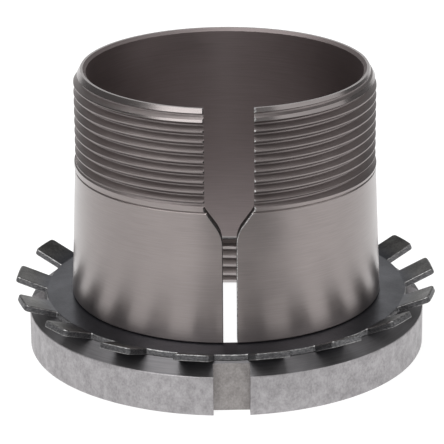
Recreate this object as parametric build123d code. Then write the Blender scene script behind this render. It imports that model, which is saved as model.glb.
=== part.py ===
from build123d import *
import os
from math import cos, radians, sin, sqrt, tan

# Adapter sleeve that seats a bearing with a tapered bore on a plain shaft, with its tab washer
# and its slotted lock nut. The three pieces stand as a stack on one axis: the nut lies flat with
# its chamfer up, the washer lies on the nut, and the sleeve stands on the washer with its thick
# end down. Millimetres, +Z up, origin on the axis at the nut's underside, slit towards -Y.

# Right-hand metric thread shared by the sleeve and the nut. On the sleeve it is shown as plain
# V rings one pitch apart, and in the nut as a plain bore at its minor radius.
THREAD_DIAMETER = 60.0
THREAD_PITCH = 2.0

# Lock nut
NUT_DIAMETER = 80.0
NUT_THICKNESS = 10.0
NUT_CHAMFER_WIDTH = 3.5
NUT_CHAMFER_ANGLE = 30.0
NUT_EDGE_BREAK = 0.4
NUT_LEAD_DEPTH = 0.25
SPANNER_SLOTS = 4
SPANNER_SLOT_WIDTH = 7.0
SPANNER_SLOT_DEPTH = 3.0

# Tab washer. Its ring ends where the nut's chamfer starts. A tab points to the back, and the
# inner key lies midway between two tabs, KEY_GAP whole gaps further round, under the sleeve.
# The tab angles are degrees above the ring, from the back tab anticlockwise seen from above.
WASHER_THICKNESS = 1.25
WASHER_HOLE_CLEARANCE = 0.2
TAB_ANGLES = (20, 20, 20, 24, 21, 19, 20, 20, 21, 23, 26, 27, 24, 26, 23, 20, 20)
TAB_LENGTH = 6.8
TAB_SIDE_CLEARANCE = 0.05
TAB_BEND_RADIUS = 1.0
TAB_CORNER_RADIUS = 0.8
KEY_GAP = 4
KEY_SIDE_CLEARANCE = 0.75
KEY_BORE_CLEARANCE = 0.3
KEY_CORNER_RADIUS = 0.8

# Adapter sleeve. The wall is measured at the thread's outside. The large end and the collar below
# the thread stand out from the thread all round by their rises, and a fine notch parts the collar
# from the taper.
SLEEVE_LENGTH = 46.5
SLEEVE_WALL = 2.5
LARGE_END_RISE = 1.2
TAPER_RATIO = 12.0
THREAD_LENGTH = 18.6
THREAD_FIRST_ROOT = 1.1
COLLAR_LENGTH = 1.7
COLLAR_RISE = 0.2
NOTCH_DEPTH = 0.2
LEAD_CHAMFER = 1.4
LEAD_CHAMFER_ANGLE = 30.0
BORE_CHAMFER = 0.6
FOOT_CHAMFER = 0.3

# Slot through one side of the sleeve: wide at the threaded end, a thin slit below
SLOT_WIDTH = 9.5
SLOT_LENGTH = 19.8
SLIT_WIDTH = 2.7
FUNNEL_ANGLE = 36.0
FUNNEL_MOUTH_RADIUS = 1.0
FUNNEL_SHOULDER_RADIUS = 6.0

# Sizes that follow from those above
THREAD_RADIUS = THREAD_DIAMETER / 2
THREAD_DEPTH = THREAD_PITCH * sqrt(3) / 2 * 5 / 8
THREAD_MINOR_RADIUS = THREAD_RADIUS - THREAD_DEPTH
WASHER_TOP = NUT_THICKNESS + WASHER_THICKNESS
WASHER_HOLE_RADIUS = THREAD_RADIUS + WASHER_HOLE_CLEARANCE
WASHER_RING_RADIUS = NUT_DIAMETER / 2 - NUT_CHAMFER_WIDTH
SLEEVE_TOP = WASHER_TOP + SLEEVE_LENGTH
BORE_RADIUS = THREAD_RADIUS - SLEEVE_WALL
LARGE_END_RADIUS = THREAD_RADIUS + LARGE_END_RISE
OVERCUT = 1.0


def outline(points):
    """Closed straight-sided face through the points."""
    return make_face(Polyline(*points, close=True))


def soften(face, points, radius):
    """The face with its corners at the points rounded to one radius."""
    corners = [face.vertices().sort_by_distance(point)[0] for point in points]
    return fillet(corners, radius)


def thread_cut(first_root, lowest_root):
    """Everything outside the thread's V rings, from above the first root to the last crest."""
    count = int((first_root - lowest_root) / THREAD_PITCH) + 1
    teeth = [(THREAD_RADIUS, first_root + THREAD_PITCH / 2)]
    for index in range(count):
        root = first_root - index * THREAD_PITCH
        teeth += [(THREAD_MINOR_RADIUS, root), (THREAD_RADIUS, root - THREAD_PITCH / 2)]
    beyond = THREAD_RADIUS + OVERCUT
    return outline(teeth + [(beyond, teeth[-1][1]), (beyond, teeth[0][1])])


def make_nut():
    """Slotted round nut with a chamfered upper edge and its bore at the thread's minor radius."""
    outer = NUT_DIAMETER / 2
    face = outer - NUT_CHAMFER_WIDTH
    shoulder = NUT_THICKNESS - NUT_CHAMFER_WIDTH * tan(radians(NUT_CHAMFER_ANGLE))
    lead = THREAD_RADIUS + NUT_LEAD_DEPTH
    lead_height = lead - THREAD_MINOR_RADIUS
    section = outline([
        (lead, 0),
        (outer - NUT_EDGE_BREAK, 0),
        (outer, NUT_EDGE_BREAK),
        (outer, shoulder),
        (face, NUT_THICKNESS),
        (lead, NUT_THICKNESS),
        (THREAD_MINOR_RADIUS, NUT_THICKNESS - lead_height),
        (THREAD_MINOR_RADIUS, lead_height),
    ])
    nut = revolve(Plane.XZ * section, Axis.Z)
    slot = Box(
        SPANNER_SLOT_DEPTH + OVERCUT, SPANNER_SLOT_WIDTH, NUT_THICKNESS + 2 * OVERCUT,
        align=(Align.MIN, Align.CENTER, Align.MIN),
    )
    slot = Pos(outer - SPANNER_SLOT_DEPTH, 0, -OVERCUT) * slot
    return nut - PolarLocations(0, SPANNER_SLOTS) * slot


def make_tab(degrees):
    """One outer tab along +X, bent up along a straight line, with the tip of a round blank."""
    angle = radians(degrees)
    ring = WASHER_RING_RADIUS
    root = (ring + WASHER_HOLE_RADIUS) / 2
    inner_bend = ring - WASHER_THICKNESS * tan(angle / 2)
    reach = TAB_LENGTH + OVERCUT
    tip_x = ring + reach * cos(angle)
    tip_z = NUT_THICKNESS + reach * sin(angle)
    side = outline([
        (root, NUT_THICKNESS),
        (ring, NUT_THICKNESS),
        (tip_x, tip_z),
        (tip_x - WASHER_THICKNESS * sin(angle), tip_z + WASHER_THICKNESS * cos(angle)),
        (inner_bend, WASHER_TOP),
        (root, WASHER_TOP),
    ])
    side = soften(side, [(ring, NUT_THICKNESS)], TAB_BEND_RADIUS + WASHER_THICKNESS)
    side = soften(side, [(inner_bend, WASHER_TOP)], TAB_BEND_RADIUS)
    width = SPANNER_SLOT_WIDTH - 2 * TAB_SIDE_CLEARANCE
    strip = extrude(Plane.XZ * side, width / 2, both=True)

    blank_radius = ring + TAB_LENGTH
    blank = Pos(-ring, 0) * Circle(blank_radius) & Rectangle(2 * reach, width)
    tip = blank_radius * cos(width / 2 / blank_radius) - ring
    blank = soften(blank, [(tip, width / 2), (tip, -width / 2)], TAB_CORNER_RADIUS)
    sheet = Pos(ring, 0, NUT_THICKNESS) * Rot(0, -degrees, 0)
    return strip & extrude(sheet * blank, reach, both=True)


def make_washer():
    """Flat ring with bent outer tabs and one inner key that fits the sleeve's wide slot."""
    key_radius = BORE_RADIUS + KEY_BORE_CLEARANCE
    key_width = SLOT_WIDTH - 2 * KEY_SIDE_CLEARANCE
    key_root = (WASHER_HOLE_RADIUS + WASHER_RING_RADIUS) / 2
    key = Rectangle(key_root, key_width, align=(Align.MIN, Align.CENTER)) - Circle(key_radius)
    tip = sqrt(key_radius ** 2 - (key_width / 2) ** 2)
    key = soften(key, [(tip, key_width / 2), (tip, -key_width / 2)], KEY_CORNER_RADIUS)
    gap = 360 / len(TAB_ANGLES)
    key_turn = 90 + (KEY_GAP + 0.5) * gap
    ring = Circle(WASHER_RING_RADIUS) - Circle(WASHER_HOLE_RADIUS)
    flat = extrude(ring + Rot(0, 0, key_turn) * key, WASHER_THICKNESS)
    tabs = [Rot(0, 0, 90 + index * gap) * make_tab(degrees) for index, degrees in enumerate(TAB_ANGLES)]
    return Pos(0, 0, NUT_THICKNESS) * flat + tabs


def make_slot():
    """The slot's outline on the front, a funnel between the wide slot and the thin slit."""
    wide = SLOT_WIDTH / 2
    thin = SLIT_WIDTH / 2
    mouth = SLEEVE_TOP - SLOT_LENGTH
    neck = mouth - (wide - thin) / tan(radians(FUNNEL_ANGLE))
    half = [(wide, SLEEVE_TOP + OVERCUT), (wide, mouth), (thin, neck), (thin, WASHER_TOP - OVERCUT)]
    slot = outline(half + [(-x, z) for x, z in reversed(half)])
    slot = soften(slot, [(wide, mouth), (-wide, mouth)], FUNNEL_MOUTH_RADIUS)
    slot = soften(slot, [(thin, neck), (-thin, neck)], FUNNEL_SHOULDER_RADIUS)
    return extrude(Plane.XZ * slot, LARGE_END_RADIUS + OVERCUT)


def make_sleeve():
    """Split sleeve, threaded outside at the top and tapered outside below."""
    def taper(height):
        return LARGE_END_RADIUS - (height - WASHER_TOP) / (2 * TAPER_RATIO)

    lead_start = SLEEVE_TOP - LEAD_CHAMFER / tan(radians(LEAD_CHAMFER_ANGLE))
    thread_end = SLEEVE_TOP - THREAD_LENGTH
    collar = THREAD_RADIUS + COLLAR_RISE
    notch = thread_end - COLLAR_LENGTH
    notch_radius = taper(notch) - NOTCH_DEPTH
    foot = WASHER_TOP + FOOT_CHAMFER
    section = outline([
        (BORE_RADIUS + FOOT_CHAMFER, WASHER_TOP),
        (taper(foot) - FOOT_CHAMFER, WASHER_TOP),
        (taper(foot), foot),
        (taper(notch - NOTCH_DEPTH), notch - NOTCH_DEPTH),
        (notch_radius, notch),
        (collar, notch + collar - notch_radius),
        (collar, thread_end - COLLAR_RISE),
        (THREAD_RADIUS, thread_end),
        (THREAD_RADIUS, lead_start),
        (THREAD_RADIUS - LEAD_CHAMFER, SLEEVE_TOP),
        (BORE_RADIUS + BORE_CHAMFER, SLEEVE_TOP),
        (BORE_RADIUS, SLEEVE_TOP - BORE_CHAMFER),
        (BORE_RADIUS, foot),
    ])
    section -= thread_cut(SLEEVE_TOP - THREAD_FIRST_ROOT, thread_end + THREAD_PITCH / 2)
    return revolve(Plane.XZ * section, Axis.Z) - make_slot()


os.makedirs("parts", exist_ok=True)
nodes = {
    "lock_nut": make_nut(),
    "lock_washer": make_washer(),
    "adapter_sleeve": make_sleeve(),
}
for name, shape in nodes.items():
    shape.label = name
    export_step(shape, f"parts/{name}.step")
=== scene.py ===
from math import asin, cos, hypot, pi, radians, sin, sqrt, tan

import bmesh
import bpy
import numpy as np
from mathutils import Matrix, Vector
from mathutils.geometry import delaunay_2d_cdt


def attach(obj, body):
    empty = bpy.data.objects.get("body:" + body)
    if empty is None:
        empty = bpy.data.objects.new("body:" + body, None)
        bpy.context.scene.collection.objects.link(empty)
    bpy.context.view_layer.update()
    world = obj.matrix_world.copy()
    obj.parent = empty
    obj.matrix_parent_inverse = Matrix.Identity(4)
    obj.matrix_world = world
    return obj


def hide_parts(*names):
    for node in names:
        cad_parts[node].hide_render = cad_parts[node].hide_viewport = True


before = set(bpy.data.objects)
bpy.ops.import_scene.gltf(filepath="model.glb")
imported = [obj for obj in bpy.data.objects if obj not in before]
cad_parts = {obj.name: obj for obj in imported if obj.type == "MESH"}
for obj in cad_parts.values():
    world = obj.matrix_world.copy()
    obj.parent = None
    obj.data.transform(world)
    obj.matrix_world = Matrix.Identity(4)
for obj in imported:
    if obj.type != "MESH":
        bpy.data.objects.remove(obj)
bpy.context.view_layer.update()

# Adapter sleeve on its tab washer and lock nut. Lengths are millimetres until a mesh is finished,
# then metres, and they are the solids' own. The helical threads and the small edge breaks are here
# only, so each of the three pieces replaces its solid. Angles round the axis start at +X and run
# anticlockwise, so the slit is at -90 degrees and the back at 90.
MM = 0.001
SEGMENTS = 360
OVERCUT = 1.0

# Right-hand thread of the sleeve and the nut
MAJOR = 30.0
PITCH = 2.0
FLANK_ANGLE = radians(30)
MINOR = MAJOR - PITCH * sqrt(3) / 2 * 5 / 8
ROOT_RADIUS = 0.2887
ROOT_FLAT = PITCH / 4
CREST_FLAT = PITCH / 8

# Nut. Its groove is given by the root's height at the back, where it shows through the slit. Its
# outer edge below is broken in two steps, which meet at the foot turn's radius and height.
NUT_RADIUS = 40.0
NUT_FACE = 36.5
NUT_TOP = 10.0
NUT_CHAMFER_ANGLE = radians(30)
NUT_SHOULDER = NUT_TOP - (NUT_RADIUS - NUT_FACE) * tan(NUT_CHAMFER_ANGLE)
NUT_SHOULDER_BREAK = 0.1
NUT_SHOULDER_RISE = 0.0577
NUT_FOOT_BREAK = 0.4
NUT_FOOT_TURN = (NUT_RADIUS - 0.12, 0.14)
NUT_LEAD = MAJOR + 0.25
NUT_GROOVE_BACK = 9.5
NUT_SLOTS = 4
NUT_SLOT_HALF = 3.5
NUT_SLOT_FLOOR = 37.0
NUT_SLOT_BREAK = 0.25

# Washer. A tab points to the back, and the angles run on anticlockwise from it.
SHEET = 1.25
WASHER_TOP = NUT_TOP + SHEET
HOLE = 30.2
RING = 36.5
TAB_ANGLES = (20, 20, 20, 24, 21, 19, 20, 20, 21, 23, 26, 27, 24, 26, 23, 20, 20)
TABS = len(TAB_ANGLES)
TAB_GAP = 2 * pi / TABS
TAB_HALF = 3.45
TAB_TIP = RING + 6.79
TAB_CORNER = 0.8
TAB_ROOT = 0.45
BEND_RADIUS = 1.0
BEND_OUTER = BEND_RADIUS + SHEET
KEY_RADIUS = 27.8
KEY_HALF = 4.0
KEY_CORNER = 0.8
KEY_ROOT = 0.3
KEY_TURN = pi / 2 + 4.5 * TAB_GAP

# Inset and height of each loop down the washer's edge: rolled over above, sheared, broken off below
EDGE_LOOPS = (
    (0.26, SHEET), (0.12, SHEET - 0.04), (0.0, SHEET - 0.2), (0.0, 0.16), (0.05, 0.04), (0.12, 0.0),
)

# Sleeve. Its groove is given by the root's height at the front, in the slot. The bore's edge below
# is broken in two steps as well.
SLEEVE_TOP = WASHER_TOP + 46.5
BORE = 27.5
BORE_CHAMFER = 0.6
LARGE_END = 31.2
TAPER_RATIO = 12
FOOT_CHAMFER = 0.3
FOOT = WASHER_TOP + FOOT_CHAMFER
BORE_FOOT = WASHER_TOP + 0.42
BORE_FOOT_TURN = (BORE + 0.1, WASHER_TOP + 0.12)
THREAD_END = SLEEVE_TOP - 18.6
COLLAR_RISE = 0.2
COLLAR = MAJOR + COLLAR_RISE
NOTCH = THREAD_END - 1.7
NOTCH_DEPTH = 0.2
LEAD_DEPTH = 1.4
LEAD_ANGLE = radians(30)
LEAD = SLEEVE_TOP - LEAD_DEPTH / tan(LEAD_ANGLE)
SLEEVE_GROOVE_FRONT = 54.63
SLOT_HALF = 4.75
SLIT_HALF = 1.35
SLOT_MOUTH = SLEEVE_TOP - 19.8
FUNNEL_ANGLE = radians(36)
FUNNEL_MOUTH_RADIUS = 1.0
FUNNEL_WAIST_RADIUS = 6.0

# How far the slot's edges are broken at some heights, on the side at +X, which is 1, and at -X
BREAK_HEIGHTS = (SLOT_MOUTH - 7.0, SLOT_MOUTH - 4.0, SLOT_MOUTH, LEAD, SLEEVE_TOP)
BREAKS = {1: (0.12, 0.13, 0.28, 0.28, 0.42), -1: (0.12, 0.28, 0.24, 0.24, 0.24)}


# Meshes
def add_object(name, data):
    item = bpy.data.objects.new(name, data)
    bpy.context.scene.collection.objects.link(item)
    return item


def loft(name, loops, ring=False):
    """Closed triangulated solid through loops with the same number of points. A ring goes on from
    its last loop to the first, and otherwise the two ends are capped."""
    count = len(loops[0])
    points = [point for loop in loops for point in loop]
    total = len(points)
    faces = []
    for here in range(0, total if ring else total - count, count):
        there = (here + count) % total
        for j in range(count):
            k = (j + 1) % count
            faces.append((here + j, here + k, there + k, there + j))
    if not ring:
        faces += [tuple(range(count)), tuple(range(total - count, total))]
    mesh = bpy.data.meshes.new(name)
    mesh.from_pydata(points, [], faces)
    shape = bmesh.new()
    shape.from_mesh(mesh)
    bmesh.ops.recalc_face_normals(shape, faces=shape.faces)
    bmesh.ops.triangulate(shape, faces=shape.faces)
    shape.to_mesh(mesh)
    shape.free()
    return add_object(name, mesh)


def turned(name, profile):
    """Ring solid turned from a closed (radius, height) profile."""
    loops = []
    for step in range(SEGMENTS):
        angle = 2 * pi * step / SEGMENTS
        loops.append([(r * cos(angle), r * sin(angle), z) for r, z in profile])
    return loft(name, loops, ring=True)


def coil(name, section, height, first, last, shift=lambda degree: 0.0, lowest=0.0):
    """Helical solid. The section is (radius, height offset), height is the coil's own at angle 0,
    first and last are its ends in whole degrees, and shift moves the section outwards at a degree.
    From the lowest height down it runs on level."""
    loops = []
    for degree in range(first, last + 1):
        angle = radians(degree)
        out = shift(degree)
        rise = max(height + PITCH * degree / 360, lowest)
        loops.append([((r + out) * cos(angle), (r + out) * sin(angle), z + rise) for r, z in section])
    return loft(name, loops)


def cut(target, tool):
    """Takes the tool out of the target for good."""
    modifier = target.modifiers.new("cut", "BOOLEAN")
    modifier.operation = "DIFFERENCE"
    modifier.solver = "MANIFOLD"
    modifier.object = tool
    graph = bpy.context.evaluated_depsgraph_get()
    mesh = bpy.data.meshes.new_from_object(target.evaluated_get(graph))
    target.modifiers.clear()
    spent = [target.data, tool.data]
    target.data = mesh
    bpy.data.objects.remove(tool)
    for item in spent:
        bpy.data.meshes.remove(item)


def triangles(mesh):
    """Cuts the mesh into triangles, without any of no width, and gives them as arrays: corner
    points (n, 3, 3), face normals and face centres."""
    shape = bmesh.new()
    shape.from_mesh(mesh)
    bmesh.ops.triangulate(shape, faces=shape.faces)
    bmesh.ops.dissolve_degenerate(shape, edges=shape.edges, dist=1e-5)
    bmesh.ops.triangulate(shape, faces=shape.faces)
    shape.to_mesh(mesh)
    shape.free()
    points = np.zeros(len(mesh.vertices) * 3)
    mesh.vertices.foreach_get("co", points)
    corners = np.zeros(len(mesh.loops), int)
    mesh.loops.foreach_get("vertex_index", corners)
    corners = points.reshape(-1, 3)[corners].reshape(-1, 3, 3)
    normals = np.cross(corners[:, 1] - corners[:, 0], corners[:, 2] - corners[:, 0])
    normals /= np.maximum(np.linalg.norm(normals, axis=1, keepdims=True), 1e-12)
    return corners, normals, corners.mean(axis=1)


def ring_normals(corners, normals, centres, plain):
    """Corner normals of turned faces: each face's own, turned about the axis from the face's centre
    to each of its corners. Plain faces keep theirs."""
    def axes(points):
        radial = points[..., :2] / np.linalg.norm(points[..., :2], axis=-1, keepdims=True)
        return radial, np.stack([-radial[..., 1], radial[..., 0]], axis=-1)

    radial, around = axes(centres)
    out = (normals[:, :2] * radial).sum(axis=1)[:, None, None]
    side = (normals[:, :2] * around).sum(axis=1)[:, None, None]
    radial, around = axes(corners)
    flat = out * radial + side * around
    up = np.repeat(normals[:, None, 2:], 3, axis=1)
    turned_normals = np.concatenate([flat, up], axis=2)
    turned_normals[plain] = normals[plain][:, None, :]
    return turned_normals


def finish_piece(item, corner_normals, rules, rest):
    """Metres, smooth shading with the given corner normals, and materials. The rules are pairs of
    faces and material, of which the first that holds for a face counts, and rest is for the others."""
    mesh = item.data
    mesh.materials.clear()
    for _, material in rules:
        mesh.materials.append(material)
    mesh.materials.append(rest)
    slots = np.select([faces for faces, _ in rules], list(range(len(rules))), len(rules))
    mesh.polygons.foreach_set("material_index", slots.astype(np.int32))
    mesh.polygons.foreach_set("use_smooth", np.ones(len(mesh.polygons), bool))
    mesh.transform(Matrix.Scale(MM, 4))
    mesh.normals_split_custom_set(corner_normals.reshape(-1, 3).tolist())
    mesh.update()


def fillet(before, corner, after, radius, steps):
    """Arc points that round the corner of two straight lines in the plane."""
    a = (Vector(before) - Vector(corner)).normalized()
    b = (Vector(after) - Vector(corner)).normalized()
    half = a.angle(b) / 2
    centre = Vector(corner) + (a + b).normalized() * radius / sin(half)
    start = Vector(corner) + a * radius / tan(half) - centre
    end = Vector(corner) + b * radius / tan(half) - centre
    turn = start.angle_signed(end)
    return [tuple(centre + Matrix.Rotation(-turn * i / steps, 2) @ start) for i in range(steps + 1)]


def rotated(x, y, angle):
    return x * cos(angle) - y * sin(angle), x * sin(angle) + y * cos(angle)


# Shader nodes
def add(tree, kind, values=None, **settings):
    """A node with its settings, and its inputs set to numbers or linked to outputs."""
    node = tree.nodes.new("ShaderNode" + kind)
    for name, value in settings.items():
        setattr(node, name, value)
    for name, value in (values or {}).items():
        if isinstance(value, bpy.types.NodeSocket):
            tree.links.new(value, node.inputs[name])
        else:
            node.inputs[name].default_value = value
    return node


def maths(tree, operation, a, b=0.0, c=0.0):
    return add(tree, "Math", {0: a, 1: b, 2: c}, operation=operation).outputs[0]


def largest(tree, first, *others):
    for other in others:
        first = maths(tree, "MAXIMUM", first, other)
    return first


def vectors(tree, operation, a, b=(0.0, 0.0, 0.0)):
    """The vector that the operation gives, or the value where it gives one."""
    outputs = add(tree, "VectorMath", {0: a, 1: b}, operation=operation).outputs
    return outputs["Value" if operation in ("LENGTH", "DOT_PRODUCT") else "Vector"]


def off_axis(tree, place):
    """The place's own part across the axis."""
    return vectors(tree, "MULTIPLY", place, (1.0, 1.0, 0.0))


def noise(tree, place, stretch, scale, detail, roughness):
    """Noise over the object's metres, stretched along its axes."""
    node = add(tree, "TexNoise", {
        "Vector": vectors(tree, "MULTIPLY", place, stretch),
        "Scale": scale, "Detail": detail, "Roughness": roughness,
    })
    return node.outputs["Fac"]


def spread(tree, value, low, high, to_low=0.0, to_high=1.0):
    """The value moved from the range low, high to the range to_low, to_high, and held at its ends."""
    return add(tree, "MapRange", {0: value, 1: low, 2: high, 3: to_low, 4: to_high}).outputs[0]


def blend(tree, factor, a, b):
    """Colour between a and b."""
    node = add(tree, "Mix", data_type="RGBA")
    for socket, value in zip((node.inputs[0], node.inputs[6], node.inputs[7]), (factor, a, b)):
        if isinstance(value, bpy.types.NodeSocket):
            tree.links.new(value, socket)
        else:
            socket.default_value = (*value, 1.0)
    return node.outputs[2]


def new_material(name):
    material = bpy.data.materials.new(name)
    material.use_nodes = True
    tree = material.node_tree
    tree.nodes.clear()
    output = tree.nodes.new("ShaderNodeOutputMaterial")
    place = tree.nodes.new("ShaderNodeTexCoord").outputs["Object"]
    return material, tree, output, place


def metal(tree, output, colour, roughness, relief, depth, extra=None):
    """Metal surface with a fine relief, depth metres deep."""
    bump = add(tree, "Bump", {"Height": relief, "Distance": depth, "Strength": 1.0}).outputs[0]
    shader = add(tree, "BsdfPrincipled", {
        "Base Color": colour, "Metallic": 1.0, "Roughness": roughness, "Normal": bump, **(extra or {}),
    })
    tree.links.new(shader.outputs[0], output.inputs[0])


# Materials of the object
def steel(name, dark, light, roughness, lines, line_depth, anisotropy, oil=1.0, drift=1.0):
    """Turned steel: fine lines round the axis, with a slow drift of tone along and across them.
    lines is how many to a metre, oil is the weight of a thin film over it, and drift is how much
    the tone and the gloss wander."""
    material, tree, output, place = new_material(name)
    streaks = noise(tree, place, (0.02, 0.02, 1.0), scale=lines, detail=4.0, roughness=0.6)
    patches = noise(tree, place, (1.0, 1.0, 1.6), scale=90.0, detail=3.0, roughness=0.5)
    slow = maths(tree, "MULTIPLY_ADD", patches, 0.5 * drift, 0.25 * (1 - drift))
    tone = maths(tree, "MULTIPLY_ADD", streaks, 0.5, slow)
    colour = blend(tree, spread(tree, tone, 0.38, 0.62), dark, light)
    wander = 0.12 * drift * roughness
    rough = spread(tree, patches, 0.3, 0.7, roughness - wander, roughness + wander)
    metal(tree, output, colour, rough, streaks, line_depth, {
        "Coat Weight": oil, "Coat Roughness": 0.3,
        "Anisotropic": anisotropy, "Anisotropic Rotation": 0.25,
        "Tangent": add(tree, "Tangent", direction_type="RADIAL", axis="Z").outputs[0],
    })
    return material


def tumbled(name, dark, light):
    """Matt grey of a tumbled nut: mottled, with small pits."""
    material, tree, output, place = new_material(name)
    clouds = noise(tree, place, (1.0, 1.0, 0.85), scale=560.0, detail=4.0, roughness=0.65)
    grain = noise(tree, place, (1.0, 1.0, 0.8), scale=2600.0, detail=3.0, roughness=0.6)
    tone = maths(tree, "MULTIPLY_ADD", clouds, 0.55, maths(tree, "MULTIPLY", grain, 0.45))
    colour = blend(tree, spread(tree, tone, 0.38, 0.62), dark, light)
    rough = spread(tree, clouds, 0.3, 0.7, 0.50, 0.40)
    metal(tree, output, colour, rough, tone, 0.00004)
    return material


def blackened(name):
    """Bluish black oxide on rolled sheet, rubbed greyer on the tabs."""
    material, tree, output, place = new_material(name)
    clouds = noise(tree, place, (1.0, 1.0, 1.0), scale=150.0, detail=4.0, roughness=0.6)
    grain = noise(tree, place, (1.0, 1.0, 1.0), scale=2500.0, detail=2.0, roughness=0.5)
    tone = maths(tree, "MULTIPLY_ADD", clouds, 0.7, maths(tree, "MULTIPLY", grain, 0.3))
    oxide = blend(tree, spread(tree, tone, 0.35, 0.65), (0.075, 0.077, 0.088), (0.115, 0.118, 0.135))
    rubbed = blend(tree, spread(tree, tone, 0.42, 0.60), (0.085, 0.083, 0.08), (0.20, 0.196, 0.19))
    on_tabs = spread(tree, vectors(tree, "LENGTH", off_axis(tree, place)), RING * MM, RING * MM + 0.003)
    rough = spread(tree, clouds, 0.3, 0.7, 0.38, 0.30)
    metal(tree, output, blend(tree, on_tabs, oxide, rubbed), rough, grain, 0.00002)
    return material


def sheared(name, dark, light, roughness, depth):
    """Edge of the stamped sheet or of a slot: bare torn steel with dark scale left in it. On the slot's
    edges the colours given are painted shade on one side and painted glints on the other.
    """
    material, tree, output, place = new_material(name)
    tear = noise(tree, place, (1.0, 1.0, 2.2), scale=1900.0, detail=3.0, roughness=0.6)
    colour = blend(tree, spread(tree, tear, 0.40, 0.64), dark, light)
    metal(tree, output, colour, roughness, tear, depth)
    return material


# The sleeve's finishes: taper, bore, thread, rim, bore chamfer, bore foot, slot walls, and slot edges
# with painted shade on the left and painted glints on the right
ground = steel(
    "ground steel", (0.264, 0.231, 0.225), (0.328, 0.287, 0.279), 0.39,
    lines=9000.0, line_depth=0.000003, anisotropy=0.74, oil=0.8,
)
reamed = steel(
    "reamed steel", (0.255, 0.215, 0.214), (0.317, 0.267, 0.265), 0.42,
    lines=7000.0, line_depth=0.000003, anisotropy=0.3, oil=0.7, drift=0.25,
)
threaded = steel(
    "threaded steel", (0.235, 0.208, 0.205), (0.305, 0.273, 0.268), 0.40,
    lines=12000.0, line_depth=0.000004, anisotropy=0.3, oil=0.0,
)
turned_rim = steel(
    "turned steel", (0.222, 0.20, 0.197), (0.277, 0.251, 0.247), 0.21,
    lines=9000.0, line_depth=0.000003, anisotropy=0.3, oil=0.0,
)
chamfered = steel(
    "chamfered steel", (0.205, 0.178, 0.176), (0.257, 0.222, 0.22), 0.6,
    lines=7000.0, line_depth=0.000003, anisotropy=0.0, oil=0.0, drift=0.25,
)
milled = steel(
    "milled steel", (0.24, 0.225, 0.22), (0.34, 0.32, 0.315), 0.36,
    lines=5000.0, line_depth=0.000006, anisotropy=0.0,
)
sawn = steel(
    "sawn steel", (0.085, 0.079, 0.077), (0.145, 0.137, 0.135), 0.42,
    lines=5000.0, line_depth=0.000006, anisotropy=0.0, oil=0.0,
)
# The slot's edge breaks are painted: near black on the left break as painted shade, near white on the
# right break as painted glints. Both are the same bare steel.
painted_shade_burr = sheared("painted shade burr", (0.015, 0.014, 0.014), (0.07, 0.067, 0.066), 0.45, 0.00003)
bright = sheared("painted glint burr", (0.30, 0.29, 0.29), (0.85, 0.84, 0.83), 0.35, 0.00005)

# The nut's: thread, upper face with its chamfer (faced, and darkened as painted shade under the washer),
# outside and underside, slot floors
tapped = steel(
    "tapped steel", (0.33, 0.298, 0.293), (0.43, 0.395, 0.388), 0.40,
    lines=5000.0, line_depth=0.000004, anisotropy=0.0,
)
# Faced steel of the nut's upper face and chamfer, made darker as painted shade under the washer's tabs
faced_with_painted_shade = steel(
    "faced steel", (0.15, 0.146, 0.151), (0.208, 0.203, 0.21), 0.50,
    lines=6000.0, line_depth=0.0000015, anisotropy=0.0, oil=0.0,
)
matt = tumbled("tumbled steel", (0.31, 0.298, 0.305), (0.45, 0.435, 0.445))
slotted = tumbled("slotted steel", (0.255, 0.238, 0.232), (0.36, 0.34, 0.333))

# The washer's: sheet, torn edge, worn corners of the edge
black = blackened("blackened sheet")
torn = sheared("sheared edge", (0.09, 0.089, 0.092), (0.19, 0.188, 0.194), 0.42, 0.000025)
worn = sheared("worn edge", (0.15, 0.149, 0.15), (0.34, 0.336, 0.334), 0.40, 0.00003)


# Adapter sleeve
def slot_outline():
    """(half width, height) down one side of the slot."""
    neck = SLOT_MOUTH - (SLOT_HALF - SLIT_HALF) / tan(FUNNEL_ANGLE)
    high = (SLOT_HALF, SLEEVE_TOP + OVERCUT)
    low = (SLIT_HALF, WASHER_TOP - OVERCUT / 2)
    mouth = fillet(high, (SLOT_HALF, SLOT_MOUTH), (SLIT_HALF, neck), FUNNEL_MOUTH_RADIUS, 6)
    waist = fillet((SLOT_HALF, SLOT_MOUTH), (SLIT_HALF, neck), low, FUNNEL_WAIST_RADIUS, 12)
    rows = 40
    fall = (high[1] - mouth[0][1]) / rows
    return [(SLOT_HALF, high[1] - fall * row) for row in range(rows)] + mouth + waist + [low]


def outer_radius(height):
    """Radius of the sleeve's outside over its crests, collar and taper."""
    if height > LEAD:
        return MAJOR - (height - LEAD) * tan(LEAD_ANGLE)
    if height > THREAD_END:
        return MAJOR
    if height > NOTCH:
        return COLLAR
    return LARGE_END - (height - WASHER_TOP) / (2 * TAPER_RATIO)


def slot_tool():
    """The slot through the front wall, with its edges broken inside and outside."""
    within, beyond = 4.0, 2.0
    side = slot_outline()
    loops = []
    for row, (width, height) in enumerate(side):
        above = side[max(row - 1, 0)]
        below = side[min(row + 1, len(side) - 1)]
        slope = (above[0] - below[0]) / (above[1] - below[1])
        outer = outer_radius(height)
        loop = []
        for sign, sizes in BREAKS.items():
            size = float(np.interp(height, BREAK_HEIGHTS, sizes))
            grow = size * hypot(1, slope)
            steps = [
                (BORE - within, grow + within), (BORE, grow), (BORE + size, 0.0),
                (outer - size, 0.0), (outer, grow), (outer + beyond, grow + beyond),
            ]
            half = [(sign * (width + more), radius) for radius, more in steps]
            loop += [(x, -sqrt(radius ** 2 - x ** 2), height) for x, radius in half[::sign]]
        loops.append(loop)
    return loft("slot", loops)


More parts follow.
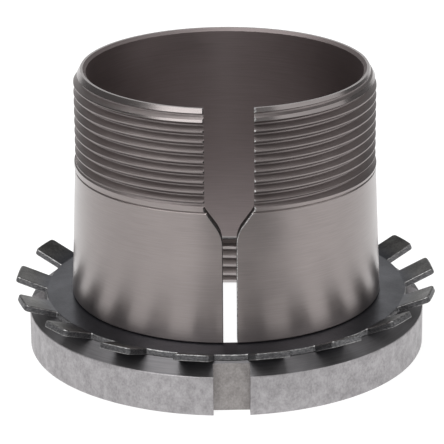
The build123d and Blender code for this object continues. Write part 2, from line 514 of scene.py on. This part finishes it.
def external_groove():
    """Section of the sleeve's thread groove, from outside the crest to the rounded root."""
    beyond = 0.6
    between_turns = 0.03
    half = PITCH / 2 - between_turns
    meet = MAJOR + (half - (PITCH - CREST_FLAT) / 2) / tan(FLANK_ANGLE)
    bottom = MINOR + ROOT_RADIUS * sin(FLANK_ANGLE)
    angles = [radians(degree) for degree in range(-60, 61, 24)]
    root = [(bottom - ROOT_RADIUS * cos(a), ROOT_RADIUS * sin(a)) for a in angles]
    return [(MAJOR + beyond, -half), (meet, -half)] + root + [(meet, half), (MAJOR + beyond, half)]


def make_sleeve():
    """Split sleeve with its thread, and with the run-out where the cutter leaves the last groove."""
    notch = outer_radius(NOTCH) - NOTCH_DEPTH
    sleeve = turned("adapter_sleeve_visual", [
        (BORE + FOOT_CHAMFER, WASHER_TOP),
        (outer_radius(FOOT) - FOOT_CHAMFER, WASHER_TOP),
        (outer_radius(FOOT), FOOT),
        (outer_radius(NOTCH - NOTCH_DEPTH), NOTCH - NOTCH_DEPTH),
        (notch, NOTCH),
        (COLLAR, NOTCH + COLLAR - notch),
        (COLLAR, THREAD_END - COLLAR_RISE),
        (MAJOR, THREAD_END),
        (MAJOR, LEAD),
        (MAJOR - LEAD_DEPTH, SLEEVE_TOP),
        (BORE + BORE_CHAMFER, SLEEVE_TOP),
        (BORE, SLEEVE_TOP - BORE_CHAMFER),
        (BORE, BORE_FOOT),
        BORE_FOOT_TURN,
    ])
    # The cutter starts to lift, is nearly out and is gone at these degrees, eight turns down
    lifting, shallow, gone = (-8 * 360 - past for past in (30, 115, 260))

    def lift(degree):
        return float(np.interp(degree, (gone, shallow, lifting), (1.35, 0.95, 0.0)))

    height = SLEEVE_GROOVE_FRONT + PITCH / 4
    cut(sleeve, coil("groove", external_groove(), height, gone, 2 * 360, lift, THREAD_END))
    cut(sleeve, slot_tool())

    corners, normals, centres = triangles(sleeve.data)
    x, y, z = centres.T
    nx, ny, nz = normals.T
    # Margins for a face's centre and for its tilt, and the least part of a normal that counts
    coarse, fine, tilt = 0.05, 0.02, 0.03
    least = 0.4
    edge_reach, rim_depth = 0.6, 0.7
    radius = np.hypot(x, y)
    outside = nx * x + ny * y > 0
    wall = (abs(x) < SLOT_HALF + edge_reach) & (y < 0) & (abs(nx) > least)
    broken = wall & (abs(ny) > least) & outside
    upright = abs(nz) < coarse
    collar_chamfer = abs(nz - cos(pi / 4)) < tilt
    collar = (radius > MAJOR + fine) & (upright | collar_chamfer)
    grooved = (z > THREAD_END - PITCH / 2 - coarse) & outside & ~collar & (radius < COLLAR)
    lead_face = (z > LEAD - coarse) & (abs(nz - sin(LEAD_ANGLE)) < tilt)
    rim = (z > SLEEVE_TOP - rim_depth) | lead_face
    bore_foot = (z < BORE_FOOT - fine) & (radius > BORE + fine / 2) & (radius < BORE + FOOT_CHAMFER)
    rules = [
        # Painted shade on the slot's left edge break, painted glints on its right edge break
        (broken & (x < 0), painted_shade_burr),
        (broken, bright),
        (wall, sawn),
        (bore_foot, milled),
        (rim & (radius > BORE + BORE_CHAMFER - fine), turned_rim),
        (rim & (radius > BORE + coarse), chamfered),
        (grooved, threaded),
        (radius < BORE + 2 * fine, reamed),
    ]
    finish_piece(sleeve, ring_normals(corners, normals, centres, wall), rules, ground)
    return sleeve


# Lock nut
def internal_groove():
    """Section of the nut's thread groove, from inside the crest to the root."""
    beyond = 0.15
    half = (PITCH - ROOT_FLAT) / 2 + beyond * tan(FLANK_ANGLE)
    root = MAJOR + CREST_FLAT / 2 / tan(FLANK_ANGLE)
    return [(MINOR - beyond, -half), (root, 0.0), (MINOR - beyond, half)]


def spanner_slot(angle):
    """One slot's tool, with its edges to the nut's outside broken."""
    flare = 1.15
    rows = [
        (NUT_SLOT_FLOOR, NUT_SLOT_HALF),
        (NUT_RADIUS - NUT_SLOT_BREAK, NUT_SLOT_HALF),
        (NUT_RADIUS + OVERCUT, NUT_SLOT_HALF + flare),
    ]
    section = [rotated(r, w, angle) for r, w in rows + [(r, -w) for r, w in reversed(rows)]]
    heights = (-OVERCUT, NUT_TOP + OVERCUT)
    return loft("spanner slot", [[(x, y, height) for x, y in section] for height in heights])


def make_nut():
    """Round nut with its thread and its spanner slots."""
    lead = NUT_LEAD - MINOR
    nut = turned("lock_nut_visual", [
        (NUT_LEAD, 0.0),
        (NUT_RADIUS - NUT_FOOT_BREAK, 0.0),
        NUT_FOOT_TURN,
        (NUT_RADIUS, NUT_FOOT_BREAK),
        (NUT_RADIUS, NUT_SHOULDER - NUT_SHOULDER_BREAK),
        (NUT_RADIUS - NUT_SHOULDER_BREAK, NUT_SHOULDER + NUT_SHOULDER_RISE),
        (NUT_FACE, NUT_TOP),
        (NUT_LEAD, NUT_TOP),
        (MINOR, NUT_TOP - lead),
        (MINOR, lead),
    ])
    cut(nut, coil("groove", internal_groove(), NUT_GROOVE_BACK - PITCH / 4, -6 * 360, 2 * 360))
    for index in range(NUT_SLOTS):
        cut(nut, spanner_slot(2 * pi * index / NUT_SLOTS))

    corners, normals, centres = triangles(nut.data)
    x, y, z = centres.T
    nx, ny, nz = normals.T
    near = 0.02
    radius = np.hypot(x, y)
    along = np.maximum(abs(x), abs(y))
    across = np.minimum(abs(x), abs(y))
    radial = (nx * x + ny * y) / radius
    faces_out = radial > 0.9
    faces_up = nz > 0.8
    faces_sideways = nx ** 2 + ny ** 2 - radial ** 2 > 0.2
    slot_floor = (abs(along - NUT_SLOT_FLOOR) < near) & (across < NUT_SLOT_HALF) & faces_out
    slot_faces = (radius > NUT_FACE) & (faces_sideways | slot_floor)
    rules = [
        (slot_floor, slotted),
        (radius < NUT_LEAD + near, tapped),
        # Upward faces take the darker faced steel, which is partly painted shade under the washer
        (faces_up & ~slot_faces, faced_with_painted_shade),
    ]
    finish_piece(nut, ring_normals(corners, normals, centres, slot_faces), rules, matt)
    return nut


# Tab washer. Its outlines are lists of (x, y, corner radius).
def rounded(points):
    """Closed outline with each corner rounded by its radius, as (x, y)."""
    line = []
    for index, (x, y, radius) in enumerate(points):
        if radius:
            before = points[index - 1][:2]
            after = points[(index + 1) % len(points)][:2]
            line += fillet(before, (x, y), after, radius, 6)
        else:
            line.append((x, y))
    return line


def arc(radius, start, end, steps):
    angles = [start + (end - start) * step / steps for step in range(steps + 1)]
    return [(radius * cos(angle), radius * sin(angle), 0.0) for angle in angles]


def on_circle(radius, across, corner=0.0):
    """The point of a circle that lies this far to the side of +X."""
    return sqrt(radius ** 2 - across ** 2), across, corner


def turned_points(points, angle):
    return [(*rotated(x, y, angle), corner) for x, y, corner in points]


def mirrored(points):
    return [(x, -y, corner) for x, y, corner in points]


def washer_outer():
    """The ring's outside with its flat tabs. Each tab's sides have points for the bend to follow."""
    bend_points = (0.9, 2.2, 3.8, 5.2)
    tip_points = (-2.2, -1.1, 0.0, 1.1, 2.2)
    root_room = radians(1.3)
    side = [on_circle(RING, TAB_HALF, TAB_ROOT)]
    side += [(RING + out, TAB_HALF, 0.0) for out in bend_points]
    side += [on_circle(TAB_TIP, TAB_HALF, TAB_CORNER)]
    tip = [on_circle(TAB_TIP, across) for across in tip_points]
    first = asin(TAB_HALF / RING) + root_room
    tab_and_gap = mirrored(side) + tip + side[::-1] + arc(RING, first, TAB_GAP - first, 8)
    points = []
    for index in range(TABS):
        points += turned_points(tab_and_gap, pi / 2 + TAB_GAP * index)
    return rounded(points)


def washer_inner():
    """The hole with its key, clockwise."""
    tip_points = (2.4, 1.2, 0.0, -1.2, -2.4)
    root_room = radians(1.5)
    side = [on_circle(HOLE, KEY_HALF, KEY_ROOT), on_circle(KEY_RADIUS, KEY_HALF, KEY_CORNER)]
    tip = [on_circle(KEY_RADIUS, across) for across in tip_points]
    first = asin(KEY_HALF / HOLE) + root_room
    key_and_hole = side + tip + mirrored(side)[::-1] + arc(HOLE, -first, first - 2 * pi, 150)
    return rounded(turned_points(key_and_hole, KEY_TURN))


def outwards(line):
    """Unit normals of a closed outline that point away from the sheet."""
    normals = []
    for index, point in enumerate(line):
        a = Vector(point) - Vector(line[index - 1])
        b = Vector(line[(index + 1) % len(line)]) - Vector(point)
        direction = a.normalized() + b.normalized()
        normals.append(Vector((direction.y, -direction.x)).normalized())
    return normals


def bend_start(full):
    """Radius at which a tab's bend through the full angle starts, in the flat sheet."""
    return RING - BEND_OUTER * tan(full / 2)


def bend(point, normal):
    """Moves a point and its normal from the flat sheet onto the bent tab nearest to it."""
    x, y, height = point
    index = round((np.arctan2(y, x) - pi / 2) / TAB_GAP)
    axis = pi / 2 + index * TAB_GAP
    full = radians(TAB_ANGLES[index % TABS])
    along, across = rotated(x, y, -axis)
    start = bend_start(full)
    turn = min(max((along - start) / BEND_OUTER, 0.0), full)
    straight = max(along - start - BEND_OUTER * full, 0.0)
    if along > start:
        along = start + (BEND_OUTER - height) * sin(turn) + straight * cos(turn)
        height = BEND_OUTER - (BEND_OUTER - height) * cos(turn) + straight * sin(turn)
    out, side = rotated(normal[0], normal[1], -axis)
    out, up = rotated(out, normal[2], turn)
    return (*rotated(along, across, axis), height + NUT_TOP), (*rotated(out, side, axis), up)


def bend_lines():
    """Points across the bends, so that the sheet's flat faces can follow them."""
    inset = 0.4
    shares = np.linspace(0.0, 1.0, 5)
    widths = np.linspace(inset - TAB_HALF, TAB_HALF - inset, 7)
    points = []
    for index, degrees in enumerate(TAB_ANGLES):
        full = radians(degrees)
        for along in bend_start(full) + BEND_OUTER * full * shares:
            points += [rotated(along, width, pi / 2 + TAB_GAP * index) for width in widths]
    return points


class Polygon:
    """Closed outline that tells whether it holds a point."""

    def __init__(self, line):
        self.a = np.array(line)
        self.b = np.roll(self.a, -1, axis=0)

    def holds(self, point):
        x, y = point
        ax, ay, bx, by = self.a[:, 0], self.a[:, 1], self.b[:, 0], self.b[:, 1]
        spans = (ay > y) != (by > y)
        with np.errstate(divide="ignore", invalid="ignore"):
            cross = (bx - ax) * (y - ay) / (by - ay) + ax
        return bool((spans & (x < cross)).sum() % 2)


class FlatSheet:
    """The washer before it is bent: points, faces, and each face's corner normals and finish."""

    def __init__(self, outlines):
        self.points = []
        self.faces = []
        self.normals = []
        self.finishes = []
        self.rims = [self.add_edge(line) for line in outlines]
        self.add_side(0, 1.0)
        self.add_side(-1, -1.0)

    def add_face(self, corners, normals, finish):
        self.faces.append(tuple(corners))
        self.normals.append(normals)
        self.finishes.append(finish)

    def add_edge(self, line):
        """The sheared edge along an outline. Gives the point numbers of its loops, top first."""
        away = outwards(line)
        loops = []
        for inset, height in EDGE_LOOPS:
            first = len(self.points)
            self.points += [(x - n.x * inset, y - n.y * inset, height) for (x, y), n in zip(line, away)]
            loops.append(range(first, len(self.points)))
        for band, finish in enumerate((black, worn, torn, worn, black)):
            upper, lower = loops[band], loops[band + 1]
            (upper_inset, top), (lower_inset, bottom) = EDGE_LOOPS[band:band + 2]
            tilt = Vector((top - bottom, upper_inset - lower_inset)).normalized()
            normals = [(n.x * tilt.x, n.y * tilt.x, tilt.y) for n in away]
            for j in range(len(line)):
                k = (j + 1) % len(line)
                corners = (upper[j], lower[j], lower[k], upper[k])
                self.add_face(corners, [normals[j], normals[j], normals[k], normals[k]], finish)
        return loops

    def add_side(self, level, up):
        """The flat face between the outlines' loops at a level, 0 above and -1 below."""
        outer, inner = [rim[level] for rim in self.rims]
        border = [*outer, *inner]
        places = [self.points[number][:2] for number in border]
        edges = []
        for loop in (outer, inner):
            first = len(edges)
            edges += [(first + j, first + (j + 1) % len(loop)) for j in range(len(loop))]
        sites = [Vector(place) for place in places + bend_lines()]
        found, _, tris, origins, _, _ = delaunay_2d_cdt(sites, edges, [], 0, 1e-6)
        numbers = []
        for place, sources in zip(found, origins):
            source = min(sources, default=len(border))
            if source < len(border):
                numbers.append(border[source])
            else:
                numbers.append(len(self.points))
                self.points.append((place.x, place.y, EDGE_LOOPS[level][1]))
        disc = Polygon(places[:len(outer)])
        hole = Polygon(places[len(outer):])
        for tri in tris:
            middle = sum((found[i] for i in tri), Vector((0.0, 0.0))) / 3
            if disc.holds(middle) and not hole.holds(middle):
                corners = [numbers[i] for i in (tri if up > 0 else tri[::-1])]
                self.add_face(corners, [(0.0, 0.0, up)] * 3, black)


def make_washer():
    """Flat ring with its bent tabs and its key, sheared from one sheet."""
    sheet = FlatSheet([washer_outer(), washer_inner()])
    bent = [bend(point, (0, 0, 1))[0] for point in sheet.points]
    corner_normals = []
    for face, normals in zip(sheet.faces, sheet.normals):
        corner_normals += [bend(sheet.points[number], normal)[1] for number, normal in zip(face, normals)]
    mesh = bpy.data.meshes.new("lock_washer_visual")
    mesh.from_pydata(bent, [], sheet.faces)
    washer = add_object("lock_washer_visual", mesh)
    rules = [(np.array([finish is kind for finish in sheet.finishes]), kind) for kind in (torn, worn)]
    finish_piece(washer, np.array(corner_normals), rules, black)
    return washer


for piece, node, slot in (
    (make_sleeve(), "adapter_sleeve", "sleeve_steel"),
    (make_nut(), "lock_nut", "nut_steel"),
    (make_washer(), "lock_washer", "washer_steel"),
):
    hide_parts(node)
    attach(piece, "root")


# Floor, world, lamps and camera, in metres
def add_floor():
    """Wide floor just under the nut. It is white to the camera and keeps the object's shadow."""
    far = 3.0
    drop = 0.00002
    mesh = bpy.data.meshes.new("floor")
    mesh.from_pydata([(-far, -far, 0), (far, -far, 0), (far, far, 0), (-far, far, 0)], [], [(0, 1, 2, 3)])
    floor = add_object("floor", mesh)
    floor.location.z = -drop
    material, tree, output, place = new_material("white floor")
    rays = add(tree, "LightPath").outputs
    seen = largest(tree, rays["Is Camera Ray"], rays["Is Glossy Ray"], rays["Is Transmission Ray"])
    # Painted shadow, seen only in the metal: the floor glows dimmer in front of the object, as if the
    # camera's stand took its light
    across = off_axis(tree, place)
    heading = vectors(tree, "NORMALIZE", across)
    in_front = vectors(tree, "DOT_PRODUCT", heading, (0.17, -0.985, 0.0))
    painted_shadow = maths(
        tree, "MULTIPLY",
        spread(tree, in_front, 0.84, 0.97, 0.0, 0.72),
        spread(tree, vectors(tree, "LENGTH", across), 0.055, 0.078),
    )
    to_camera = maths(tree, "MULTIPLY", rays["Is Camera Ray"], 0.85)
    strength = largest(tree, maths(tree, "SUBTRACT", 0.82, painted_shadow), to_camera)
    glow = add(tree, "Emission", {"Color": (1.0, 1.0, 1.0, 1.0), "Strength": strength}).outputs[0]
    grey = add(tree, "BsdfDiffuse", {"Color": (0.30, 0.30, 0.30, 1.0)}).outputs[0]
    lit = add(tree, "AddShader", {0: grey, 1: glow}).outputs[0]
    plain = add(tree, "BsdfDiffuse", {"Color": (0.75, 0.75, 0.75, 1.0)}).outputs[0]
    mixed = add(tree, "MixShader", {0: seen, 1: plain, 2: lit}).outputs[0]
    tree.links.new(mixed, output.inputs[0])
    mesh.materials.append(material)


def add_world():
    """White to the camera. Round the object a room that has a bright wall behind the object, and is
    dimmer beside it than in front."""
    world = bpy.data.worlds.new("studio")
    bpy.context.scene.world = world
    world.use_nodes = True
    tree = world.node_tree
    tree.nodes.clear()
    output = tree.nodes.new("ShaderNodeOutputWorld")
    towards = tree.nodes.new("ShaderNodeTexCoord").outputs["Generated"]
    direction = add(tree, "SeparateXYZ", {0: towards}).outputs
    front_to_back = spread(tree, direction["Y"], -0.6, 0.4, 0.42, 0.22)
    beside = spread(tree, maths(tree, "ABSOLUTE", direction["X"]), 0.7, 0.9, 1.0, 0.4)
    room = maths(tree, "MULTIPLY", front_to_back, beside)
    back_wall = spread(tree, direction["Y"], 0.87, 0.95, 0.2, 1.0)
    rays = add(tree, "LightPath").outputs
    below = maths(tree, "LESS_THAN", direction["Z"], 0.02)
    low_glossy = maths(tree, "MULTIPLY", rays["Is Glossy Ray"], below)
    seen = largest(tree, rays["Is Camera Ray"], rays["Is Transmission Ray"], low_glossy)
    strength = largest(tree, seen, room, back_wall)
    light = add(tree, "Background", {"Color": (1.0, 1.0, 1.0, 1.0), "Strength": strength}).outputs[0]
    tree.links.new(light, output.inputs[0])


def add_lamp(name, azimuth, elevation, distance, spread_angle, strength):
    """Round soft box aimed at the object's middle. It fills the spread angle each way from its
    centre, in degrees, and strength is its brightness, where 1 is white."""
    radius = distance * tan(radians(spread_angle))
    data = bpy.data.lights.new(name, "AREA")
    data.shape = "DISK"
    data.size = 2 * radius
    data.energy = strength * pi * pi * radius ** 2
    lamp = add_object(name, data)
    middle = Vector((0, 0, 0.03))
    a, e = radians(azimuth), radians(elevation)
    away = Vector((cos(a) * cos(e), sin(a) * cos(e), sin(e)))
    lamp.location = middle + away * distance
    lamp.rotation_euler = away.to_track_quat("Z", "Y").to_euler()
    lamp.visible_camera = False


def add_camera():
    """Camera that looks down at the front. Its focal length is in pixels of a frame 444 wide."""
    tilt, roll, swing = 0.3482, -0.0069, radians(-1.3)
    distance, look_height, aside = 0.5135, 0.0249, -0.000757
    focal_pixels, frame_pixels = 2542.0, 444
    data = bpy.data.cameras.new("camera")
    data.sensor_width = 36.0
    data.lens = focal_pixels / frame_pixels * data.sensor_width
    data.clip_start = 0.01
    camera = add_object("camera", data)
    forward = Vector((0, cos(tilt), -sin(tilt)))
    level = Vector((1, 0, 0))
    upright = level.cross(forward)
    right = cos(roll) * level + sin(roll) * upright
    up = cos(roll) * upright - sin(roll) * level
    place = Vector((0, -distance * cos(tilt), distance * sin(tilt) + look_height)) + right * aside
    axes = Matrix((right, up, -forward)).transposed().to_4x4()
    camera.matrix_world = Matrix.Rotation(swing, 4, "Z") @ Matrix.Translation(place) @ axes
    bpy.context.scene.camera = camera


add_floor()
add_world()
add_lamp("left soft box", azimuth=-135, elevation=64, distance=2.0, spread_angle=30, strength=3.05)
add_lamp("right soft box", azimuth=-15, elevation=33, distance=2.0, spread_angle=28, strength=0.95)
add_camera()
bpy.context.scene.view_settings.view_transform = "Standard"
